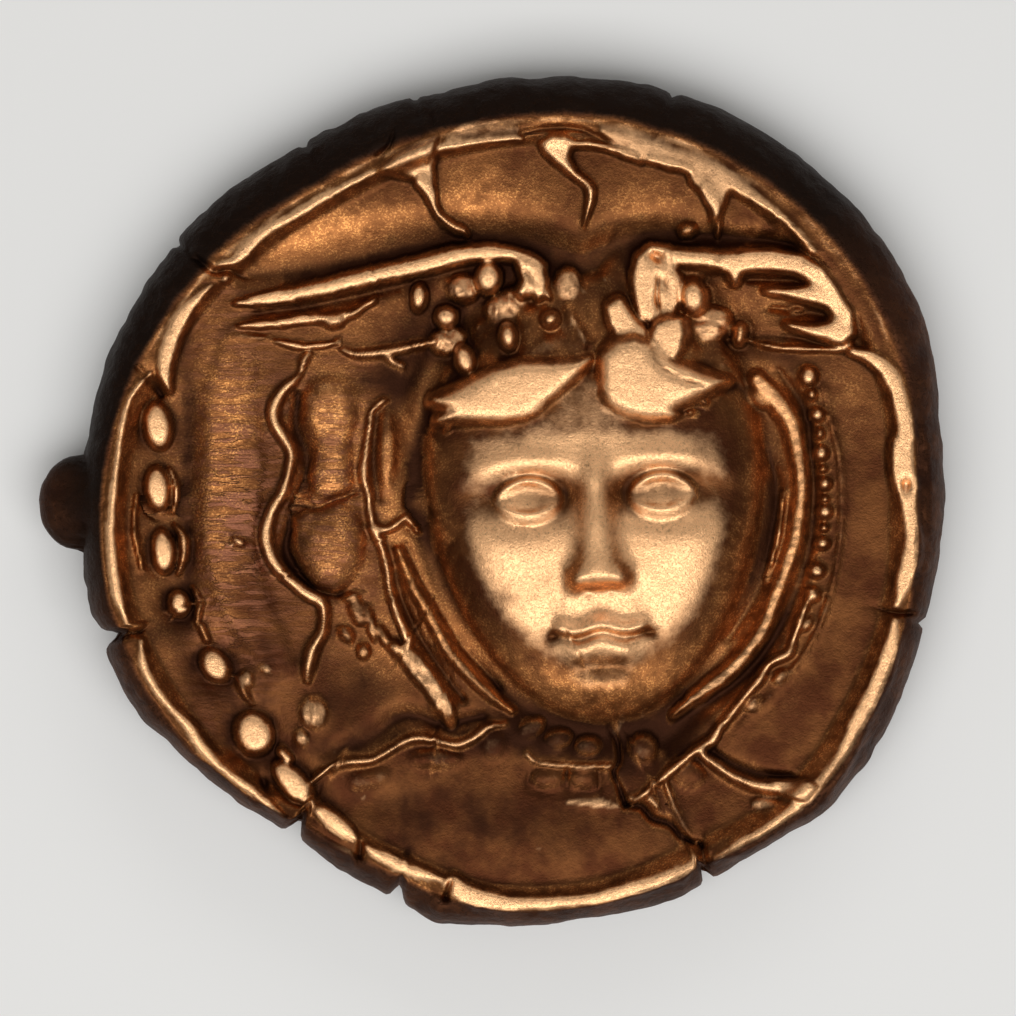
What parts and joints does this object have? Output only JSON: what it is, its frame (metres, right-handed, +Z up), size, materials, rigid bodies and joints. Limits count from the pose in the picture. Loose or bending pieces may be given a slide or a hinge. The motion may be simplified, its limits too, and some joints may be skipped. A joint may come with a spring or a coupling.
{
  "type": "struck gold coin",
  "caption": "Thick hand-struck gold coin: a winged frontal head in high relief, a broken raised rim with oval pellets, an edge lump and a plain rayed reverse.",
  "frame": {"origin": "middle of the coin's outline, on the plane that it lies on", "axes": "+Z up out of the struck face, +Y towards the top of the head, +X to the right of the head as it is seen"},
  "size_m": [0.0183, 0.0171, 0.0029],
  "materials": {
    "gold": "worn bright on the high relief, toned brown in the fields"
  },
  "bodies": {
    "root": {"coin": "gold"}
  },
  "joints": []
}
